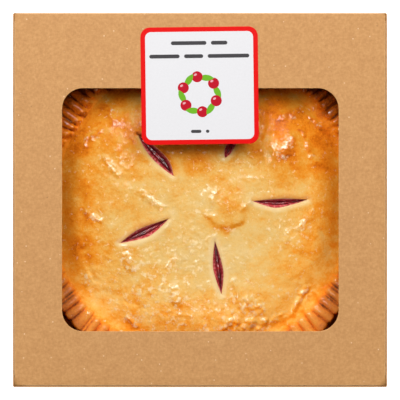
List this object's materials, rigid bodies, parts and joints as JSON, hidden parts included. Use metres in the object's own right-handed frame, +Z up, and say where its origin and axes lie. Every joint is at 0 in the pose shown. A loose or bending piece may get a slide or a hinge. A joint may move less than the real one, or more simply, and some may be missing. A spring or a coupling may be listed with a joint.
{
  "type": "boxed cherry pie",
  "caption": "Round double-crust cherry pie with crimped rim and vent slits, in a foil pan, shut in a square kraft carton with a film window and a label.",
  "frame": {"origin": "centre of the carton's footprint, on the surface that it stands on", "axes": "+Z up through the lid; -Y is the carton's front, where the lid tucks in, and +Y its back, where the lid folds; +X is the right as seen from the front"},
  "size_m": [0.216, 0.216, 0.064],
  "materials": {
    "kraft_board": "matt brown kraft board with fine fibres",
    "clear_film": "thin clear film",
    "label_paper": "semi-gloss sticker with a red border",
    "foil": "bright pressed foil",
    "baked_crust": "golden baked pastry with a shiny glaze",
    "filling": "dark red, wet and glossy"
  },
  "bodies": {
    "root": {"carton": "kraft_board", "window_film": "clear_film", "label": "label_paper", "foil_pan": "foil", "pie_crust": "baked_crust", "cherry_filling": "filling"}
  },
  "joints": []
}
